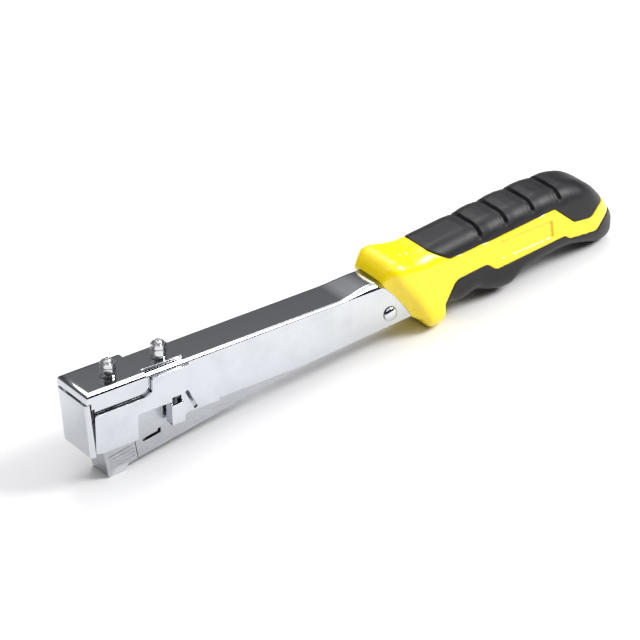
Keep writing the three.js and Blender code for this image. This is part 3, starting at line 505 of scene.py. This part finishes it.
# middle, backward rake, top, depth below the channel's edge, width beyond its side, corner radius
loft_rows = np.array([
    (174.9, 1, 3.6, 1.7, 1.4, 3), (179.4, 0.95, 7.8, 5.5, 3.3, 5), (183.2, 0.86, 10.6, 9.6, 5.5, 7),
    (186.8, 0.82, 11.8, 10.5, 6.22, 8.4), (191, 0.78, 11.5, 10.3, 6.05, 9), (196, 0.74, 10.8, 9.3, 5.5, 9.4),
    (201.5, 0.62, 10.6, 3.3, 4.9, 9.6), (211, 0.3, 12, 2.1, 4.5, 10), (224, 0, 13.8, 3.1, 4.3, 10),
    (235, 0, 15.1, 0.5, 4.3, 10), (243, 0, 16.1, 3.1, 4.5, 10), (250, 0, 16.9, 4.7, 4.5, 10),
    (257, 0, 17.6, 4.3, 4.5, 10), (263, 0, 18.1, 0.5, 4.5, 10), (271, 0, 18.8, -2.1, 4.5, 10),
    (280, 0, 19.2, -3.9, 4.5, 10), (289, 0, 19.4, -4.9, 4.5, 10), (297, 0, 18.7, -4.9, 4.5, 10),
    (304, 0, 16.8, -3.5, 4.4, 10), (310, 0, 13.4, -1.9, 4.1, 10.4), (316, 0, 8.4, 0.5, 3.1, 11),
    (321, 0, 2.8, 1.3, 1.5, 10.6), (325.6, 0, -3.2, 0.5, -1.1, 8.4), (329.2, 0, -8.6, -3.9, -4.9, 4.4),
])
knots = loft_rows[:, 0].copy()
slopes = np.gradient(loft_rows, knots, axis=0)


def section(x):
    """The section at each x, smoothed through the rows: rake, top, bottom, half width, corner radius."""
    i = np.clip(np.searchsorted(knots, x) - 1, 0, len(knots) - 2)
    span = knots[i + 1] - knots[i]
    t = ((x - knots[i]) / span)[:, None]
    span = span[:, None]
    rows = (
        (2 * t**3 - 3 * t**2 + 1) * loft_rows[i] + (t**3 - 2 * t**2 + t) * span * slopes[i]
        + (3 * t**2 - 2 * t**3) * loft_rows[i + 1] + (t**3 - t**2) * span * slopes[i + 1]
    )
    return rows[:, 1], rows[:, 2], -web_depth - rows[:, 3], half_channel + rows[:, 4], rows[:, 5]


def swept_x(x, rake, z):
    """Where a point of a raked section lies: the rake is halved above the web and fades below it."""
    return x - rake * np.where(z > 0, 0.5 * z, z + z * z / 120)


def rounded_ring(rake, top, bottom, half, radius, x, per_corner=22):
    """Points round one rounded-rectangle section, anticlockwise from the right of the top."""
    radius = min(radius, half - 0.1, (top - bottom) / 2 - 0.1)
    y_in, z_top, z_low = half - radius, top - radius, bottom + radius
    points = []
    for quarter, (cy, cz), (ny, nz) in [
        (0, (y_in, z_top), (-y_in, z_top)), (1, (-y_in, z_top), (-y_in, z_low)),
        (2, (-y_in, z_low), (y_in, z_low)), (3, (y_in, z_low), (y_in, z_top)),
    ]:
        for i in range(per_corner + 1):
            angle = math.pi / 2 * (quarter + i / per_corner)
            points.append((cy + radius * math.cos(angle), cz + radius * math.sin(angle)))
        turn = math.pi / 2 * (quarter + 1)
        per_side = 44 if quarter % 2 else 14
        for i in range(1, per_side):
            share = i / per_side
            points.append((
                cy + (ny - cy) * share + radius * math.cos(turn),
                cz + (nz - cz) * share + radius * math.sin(turn),
            ))
    flat = np.array(points)
    return np.column_stack([swept_x(x, rake, flat[:, 1]), flat])


# Stations lie closer together over the grooves and the rounded butt, which a domed end closes.
stations = np.concatenate([
    np.arange(174.9, 226, 0.55), np.arange(226, 300, 0.3), np.arange(300, 322, 0.5),
    np.arange(322, 328.1, 0.35), [328.3],
])
rakes, tops, bottoms, halves, radii = section(stations)
skin_rings = [rounded_ring(*values) for values in zip(rakes, tops, bottoms, halves, radii, stations)]
last, butt = skin_rings[-1], skin_rings[-1].mean(axis=0)
dome_rings, dome_height = 6, 0.85
for step in range(1, dome_rings + 1):
    angle = math.pi / 2 * step / (dome_rings + 0.5)
    bulge = np.array([dome_height * math.sin(angle), 0, 0])
    skin_rings.append(butt + (last - butt) * math.cos(angle) + bulge)


def closed_skin(name, rings):
    """One closed mesh through rings of points, in mm, filled at both ends."""
    count = len(rings[0])
    points = [tuple(p) for ring in rings for p in ring]
    faces = []
    for r in range(len(rings) - 1):
        for i in range(count):
            a, b = r * count + i, r * count + (i + 1) % count
            faces.append((a, a + count, b + count, b))
    faces.append(tuple(range(count)))
    faces.append(tuple(reversed(range((len(rings) - 1) * count, len(rings) * count))))
    mesh = bpy.data.meshes.new(name)
    mesh.from_pydata(points, [], faces)
    shape = bmesh.new()
    shape.from_mesh(mesh)
    bmesh.ops.triangulate(shape, faces=[f for f in shape.faces if len(f.verts) > 4])
    bmesh.ops.recalc_face_normals(shape, faces=shape.faces)
    shape.to_mesh(mesh)
    shape.free()
    piece = bpy.data.objects.new(name, mesh)
    bpy.context.scene.collection.objects.link(piece)
    return piece


def softened(outline, radius, steps=6):
    """A closed outline with its corners rounded; a point may give its own radius."""
    result = []
    for i, (x, z, *own) in enumerate(outline):
        here = np.array([x, z], float)
        before = np.array(outline[i - 1][:2], float) - here
        after = np.array(outline[(i + 1) % len(outline)][:2], float) - here
        reach = own[0] if own else radius
        start = here + before / np.linalg.norm(before) * min(reach, np.linalg.norm(before) * 0.45)
        end = here + after / np.linalg.norm(after) * min(reach, np.linalg.norm(after) * 0.45)
        for k in range(steps + 1):
            t = k / steps
            result.append((1 - t) ** 2 * start + 2 * t * (1 - t) * here + t * t * end)
    return np.array(result)


def inside_depth(points, outline):
    """How far points in X and Z lie inside a closed outline; negative outside it."""
    nearest = np.full(len(points), 1e9)
    inside = np.zeros(len(points), bool)
    for a, b in zip(outline, np.roll(outline, -1, axis=0)):
        edge = b - a
        length = edge @ edge
        if length < 1e-12:
            continue
        t = np.clip((points - a) @ edge / length, 0, 1)
        nearest = np.minimum(nearest, np.linalg.norm(points - a - t[:, None] * edge, axis=1))
        crosses = (a[1] > points[:, 1]) != (b[1] > points[:, 1])
        if a[1] != b[1]:
            inside ^= crosses & (points[:, 0] < (b[0] - a[0]) * (points[:, 1] - a[1]) / (b[1] - a[1]) + a[0])
    return np.where(inside, nearest, -nearest)


def wide_prism(name, outline):
    """A closed outline in X and Z drawn right through the handle."""
    rings = [np.column_stack([outline[:, 0], np.full(len(outline), y), outline[:, 1]]) for y in (-30.0, 30.0)]
    return closed_skin(name, rings)


def combined(name, body, cutters, operation):
    """The first solid cut or kept by the others."""
    for cutter in cutters:
        change = body.modifiers.new(cutter.name, "BOOLEAN")
        change.operation, change.solver, change.object = operation, "MANIFOLD", cutter
    mesh = bpy.data.meshes.new_from_object(body.evaluated_get(bpy.context.evaluated_depsgraph_get()))
    body.modifiers.clear()
    mesh.name = name
    return mesh


# The edges of the two grips in X and Z; a third number is the point's own radius.
top_edge = softened([
    (345, 40), (200, 40), (203, 10.8, 1), (214.2, 4.2, 1.6), (245.2, 6.5, 1), (282.2, 10.4, 1.5),
    (295.9, -1.4, 1.6), (307.5, -2.6, 2), (312.5, 2.6, 2.5), (345, 4.6),
], 1)
low_edge = softened([
    (345, -2.6), (320, -4.4, 2), (316, -7.6, 2), (311.9, -11.6, 1.5), (293.3, -10.4, 1.5), (289.9, -7.5, 1.5),
    (244.5, -11.9, 2), (238.5, -7, 2), (218.7, -9.2, 3), (213.3, -18.1, 4), (214.7, -24.4, 1), (221.5, -45),
    (345, -45),
], 1)
skin = closed_skin("handle_skin", skin_rings)
top_zone, low_zone = wide_prism("top_zone", top_edge), wide_prism("low_zone", low_edge)
core_mesh = combined("yellow_handle_core", skin, [top_zone, low_zone], "DIFFERENCE")
top_mesh = combined("soft_top_grip", skin, [top_zone], "INTERSECT")
low_mesh = combined("soft_lower_grip", skin, [low_zone], "INTERSECT")
for spent in (skin, top_zone, low_zone):
    bpy.data.objects.remove(spent)


butt_from, butt_over = 318, 8  # where the skin starts to face the end, and how soon it does
skin_within = 0.35  # points nearer the skin than this are on it, and the rest are on the cuts


def section_place(points):
    """For points on the skin: which way is out, how far round from the top centre, and whether on the skin."""
    x = points[:, 0].copy()
    for _ in range(6):  # undo the rake
        rake = np.interp(x, stations, rakes)
        x = points[:, 0] - (swept_x(x, rake, points[:, 2]) - x)
    top, half, radius, bottom = (np.interp(x, stations, v) for v in (tops, halves, radii, bottoms))
    radius = np.minimum(radius, np.minimum(half - 0.1, (top - bottom) / 2 - 0.1))
    cy = np.clip(points[:, 1], radius - half, half - radius)
    cz = np.clip(points[:, 2], bottom + radius, top - radius)
    out = np.column_stack([np.zeros(len(points)), points[:, 1] - cy, points[:, 2] - cz])
    out[:, 0] = np.clip((x - butt_from) / butt_over, 0, 1) * np.linalg.norm(out[:, 1:], axis=1)
    norm = np.linalg.norm(out, axis=1)
    out /= np.maximum(norm, 1e-6)[:, None]
    bend = np.arctan2(np.abs(points[:, 1] - cy), np.maximum(points[:, 2] - cz, 1e-9))
    over_top = np.abs(cy) + radius * bend
    down_side = half - radius + radius * math.pi / 2 + (top - radius - points[:, 2])
    return out, np.where(points[:, 2] > cz, over_top, down_side), norm > radius - skin_within


def eased(value, low, high):
    """0 below low, 1 above high, smooth between."""
    t = np.clip((value - low) / (high - low), 0, 1)
    return t * t * (3 - 2 * t)


def rolled_edge(depth_in, radius):
    """How far the skin has dropped where it rolls over into a seam."""
    t = np.clip(1 - depth_in / radius, 0, 1)
    return radius * (1 - np.sqrt(1 - t * t * 0.98))


def shaped(mesh, drop, name, material, node, crease=42):
    """Sinks each point of a cut skin by its drop, lays the skin in the tool's frame and dresses it."""
    points = np.array([v.co for v in mesh.vertices])
    out, around, outer = section_place(points)
    points = points - out * drop(points, around, outer)[:, None]
    mesh.vertices.foreach_set("co", points.ravel())
    mesh.update()
    mesh.transform(tool_frame @ Matrix.Scale(MM, 4))
    mesh.materials.clear()
    mesh.materials.append(material)
    mesh.polygons.foreach_set("use_smooth", [True] * len(mesh.polygons))
    mesh.set_sharp_from_angle(angle=math.radians(crease))
    piece = bpy.data.objects.new(name, mesh)
    bpy.context.scene.collection.objects.link(piece)
    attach(piece, "tool_body")
    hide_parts(node)
    return piece


# Black thermoplastic rubber over-moulding: a soft, slightly greasy sheen broken by the fine spark-eroded grain
# of the mould, and paler mottled patches painted into the colour, partly dust and bloom on the rubber and
# partly a painted highlight.
soft_rubber, tree, shader, place = started("black_thermoplastic_rubber_spark_grained")
shader.inputs["IOR"].default_value = 1.5
shader.inputs["Specular IOR Level"].default_value = 0.32
shader.inputs["Sheen Weight"].default_value = 0.03
shader.inputs["Sheen Roughness"].default_value = 0.4
pits = add(
    tree, "ShaderNodeTexVoronoi",
    {"Vector": place, "Scale": repeats(0.526), "Randomness": 1, "Smoothness": 0.6}, feature="SMOOTH_F1",
)
mottle = add(
    tree, "ShaderNodeTexNoise", {"Vector": place, "Scale": repeats(10.5), "Detail": 5, "Roughness": 0.6},
)
# The paler mottle of the colour is partly dust and bloom and partly a painted highlight.
bloom_and_painted_highlight = add(
    tree, "ShaderNodeMapRange", {"Value": mottle.outputs["Fac"], "From Min": 0.35, "From Max": 0.7},
)
tone = add(
    tree, "ShaderNodeMix", {"Factor": bloom_and_painted_highlight.outputs[0], "A": paint("#151417"), "B": paint("#201f22")},
    data_type="RGBA",
)
gloss = add(tree, "ShaderNodeMapRange", {"Value": mottle.outputs["Fac"], "To Min": 0.36, "To Max": 0.52})
surfaced(
    tree, shader, tone.outputs["Result"], gloss.outputs[0], pits.outputs["Distance"], strength=0.35, depth=0.12,
)

rim_roll = 0.7
groove_places = [234.3, 251.1, 268.3, 286.0]
groove_reach, groove_half, groove_depth, pad_crown, crown_over = 14.6, 2.0, 1.8, 0.4, 5
middle_share, floor_share, wall_share = 0.72, 0.35, 1.05  # of a groove's half width


def top_grip_drop(points, around, outer):
    """Rolled rim, and four grooves across the top that widen towards round ends between crowned pads."""
    drop = rolled_edge(inside_depth(points[:, [0, 2]], top_edge), rim_roll)
    groove = np.zeros(len(points))
    for place_x in groove_places:
        away = np.hypot(points[:, 0] - place_x, np.maximum(around - groove_reach, 0))
        width = groove_half * (middle_share + (1 - middle_share) * np.clip(around / groove_reach, 0, 1))
        crown = pad_crown * (1 - eased(away, width, width + crown_over))
        wall = 1 - eased(away, width * floor_share, width * wall_share)
        groove = np.maximum(groove, crown + groove_depth * wall)
    return drop + np.where(outer, groove, 0)


def low_grip_drop(points, around, outer):
    """Rolled rim."""
    return rolled_edge(inside_depth(points[:, [0, 2]], low_edge), rim_roll)


shaped(top_mesh, top_grip_drop, "soft_top_grip", soft_rubber, "top_grip")
shaped(low_mesh, low_grip_drop, "soft_lower_grip", soft_rubber, "lower_grip")

# Yellow ABS, injection moulded in a polished tool: bright and evenly coloured, glossy with a faint ripple, and
# light sinks a little way into it so that its shaded side stays warm.
yellow_abs, tree, shader, place = started("yellow_abs_injection_moulded_polished")
shader.inputs["IOR"].default_value = 1.53
shader.inputs["Subsurface Weight"].default_value = 0.12
shader.inputs["Subsurface Radius"].default_value = (0.003, 0.002, 0.0006)
shader.inputs["Coat Weight"].default_value = 0.25
shader.inputs["Coat Roughness"].default_value = 0.08
ripple = add(tree, "ShaderNodeTexNoise", {"Vector": place, "Scale": repeats(2.38), "Detail": 2})
drift = add(tree, "ShaderNodeTexNoise", {"Vector": place, "Scale": repeats(31.25), "Detail": 3})
tone = add(
    tree, "ShaderNodeMix", {"Factor": drift.outputs["Fac"], "A": paint("#ffdc00"), "B": paint("#ffe600")},
    data_type="RGBA",
)
rub = add(
    tree, "ShaderNodeTexNoise", {"Vector": place, "Scale": repeats(6.67), "Detail": 5, "Roughness": 0.65},
)
gloss = add(tree, "ShaderNodeMapRange", {
    "Value": rub.outputs["Fac"], "From Min": 0.3, "From Max": 0.8, "To Min": 0.2, "To Max": 0.38,
})
surfaced(
    tree, shader, tone.outputs["Result"], gloss.outputs[0], ripple.outputs["Fac"], strength=0.1, depth=0.08,
)

side_panel = softened([(245.3, 3.4), (280.9, 4.9), (282.2, -5.5), (247.3, -7.2)], 1.6)
panel_depth, panel_wall = 1.0, (-0.1, 0.55)
dents = [(188.5, -6.2), (192.6, -6.2)]
dent_depth, dent_wall = 0.7, (0.4, 1.9)
core_roll, guard_top = 0.6, 5


def core_drop(points, around, outer):
    """Rolled rims along both grips, a sunk plain panel on each side and two small dents on top of the guard."""
    flat = points[:, [0, 2]]
    drop = sum(rolled_edge(-inside_depth(flat, edge), core_roll) for edge in (top_edge, low_edge))
    panel = panel_depth * eased(inside_depth(flat, side_panel), *panel_wall)
    dented = np.zeros(len(points))
    for x, y in dents:
        dented += dent_depth * (1 - eased(np.hypot(points[:, 0] - x, points[:, 1] - y), *dent_wall))
    return drop + np.where(outer, panel + np.where(points[:, 2] > guard_top, dented, 0), 0)


shaped(core_mesh, core_drop, "yellow_handle_core", yellow_abs, "handle_core")


# ---------------------------------------------------------------- floor, light and camera
# A pale studio floor under a tent that is bright overhead, black low on the near side and grey low on the far
# side, with a large soft light over the near side. The dark walls draw the bends of the plated sheet.
shape = bmesh.new()
bmesh.ops.create_grid(shape, x_segments=2, y_segments=2, size=30)
floor_mesh = bpy.data.meshes.new("floor")
shape.to_mesh(floor_mesh)
shape.free()
floor = bpy.data.objects.new("floor", floor_mesh)
bpy.context.scene.collection.objects.link(floor)
paper, tree, shader, place = started("white_studio_paper_matte")
shader.inputs["Roughness"].default_value = 0.9
shader.inputs["Specular IOR Level"].default_value = 0.15
tooth = add(tree, "ShaderNodeTexNoise", {"Vector": place, "Scale": repeats(1.11), "Detail": 2})
tone = add(
    tree, "ShaderNodeMix", {"Factor": tooth.outputs["Fac"], "A": paint("#e9e9e9"), "B": paint("#ededed")},
    data_type="RGBA",
)
tree.links.new(tone.outputs["Result"], shader.inputs["Base Color"])
floor_mesh.materials.append(paper)

# height of a band on the tent's wall, from level to overhead, and how bright it is
near_levels = [(0.0, 0.02), (0.6, 0.02), (0.7, 1.1), (1.0, 1.25)]
far_levels = [(0.0, 0.06), (0.3, 0.1), (0.47, 0.2), (0.62, 0.5), (0.72, 1.1), (1.0, 1.25)]
sky = bpy.data.worlds.new("light_tent")
sky.use_nodes = True
bpy.context.scene.world = sky
tree = sky.node_tree
tree.nodes.clear()
direction = add(tree, "ShaderNodeTexCoord").outputs["Generated"]
apart = add(tree, "ShaderNodeSeparateXYZ", {"Vector": direction})
skies = []
for levels in (near_levels, far_levels):
    ramp = add(tree, "ShaderNodeValToRGB", {"Fac": apart.outputs["Z"]})
    for i, (height, level) in enumerate(levels):
        stop = ramp.color_ramp.elements[i] if i < 2 else ramp.color_ramp.elements.new(height)
        stop.position, stop.color = height, (level, level, level * 1.02, 1)
    skies.append(ramp.outputs["Color"])
side = add(tree, "ShaderNodeMapRange", {"Value": apart.outputs["Y"], "From Min": -0.25, "From Max": 0.35})
bands = add(
    tree, "ShaderNodeMix", {"Factor": side.outputs[0], "A": skies[0], "B": skies[1]}, data_type="RGBA",
)
tent = add(tree, "ShaderNodeBackground", {"Color": bands.outputs["Result"], "Strength": 1.0})
add(tree, "ShaderNodeOutputWorld", {"Surface": tent.outputs[0]})


def soft_light(name, size, power, where, target):
    """A square soft light that faces a point."""
    light = bpy.data.lights.new(name, "AREA")
    light.shape, light.size, light.energy = "SQUARE", size, power
    holder = bpy.data.objects.new(name, light)
    holder.location = where
    holder.rotation_euler = (Vector(where) - Vector(target)).to_track_quat("Z", "Y").to_euler()
    bpy.context.scene.collection.objects.link(holder)


soft_light("near_side_softbox", size=0.6, power=24, where=(0.95, -0.75, 1.0), target=(0.05, 0, 0.03))
soft_light("far_side_softbox", size=0.7, power=9, where=(0.45, 0.7, 1.3), target=(0, 0, 0.03))

# The camera is placed in the tool's own frame: its eye in mm, and the way it looks.
eye, look = Vector((-730.7, -1160.5, 829.3)), Vector((0.5207, 0.6909, -0.5015)).normalized()
view = bpy.data.cameras.new("camera")
view.lens, view.sensor_width, view.clip_start, view.clip_end = 191.5, 36, 0.05, 50
camera = bpy.data.objects.new("camera", view)
bpy.context.scene.collection.objects.link(camera)
right = look.cross(Vector((0, 0, 1))).normalized()
seen = Matrix((right, right.cross(look), -look)).transposed().to_4x4()
seen.translation = eye * MM
camera.matrix_world = tool_frame @ seen
bpy.context.scene.camera = camera
bpy.context.scene.view_settings.view_transform = "Standard"
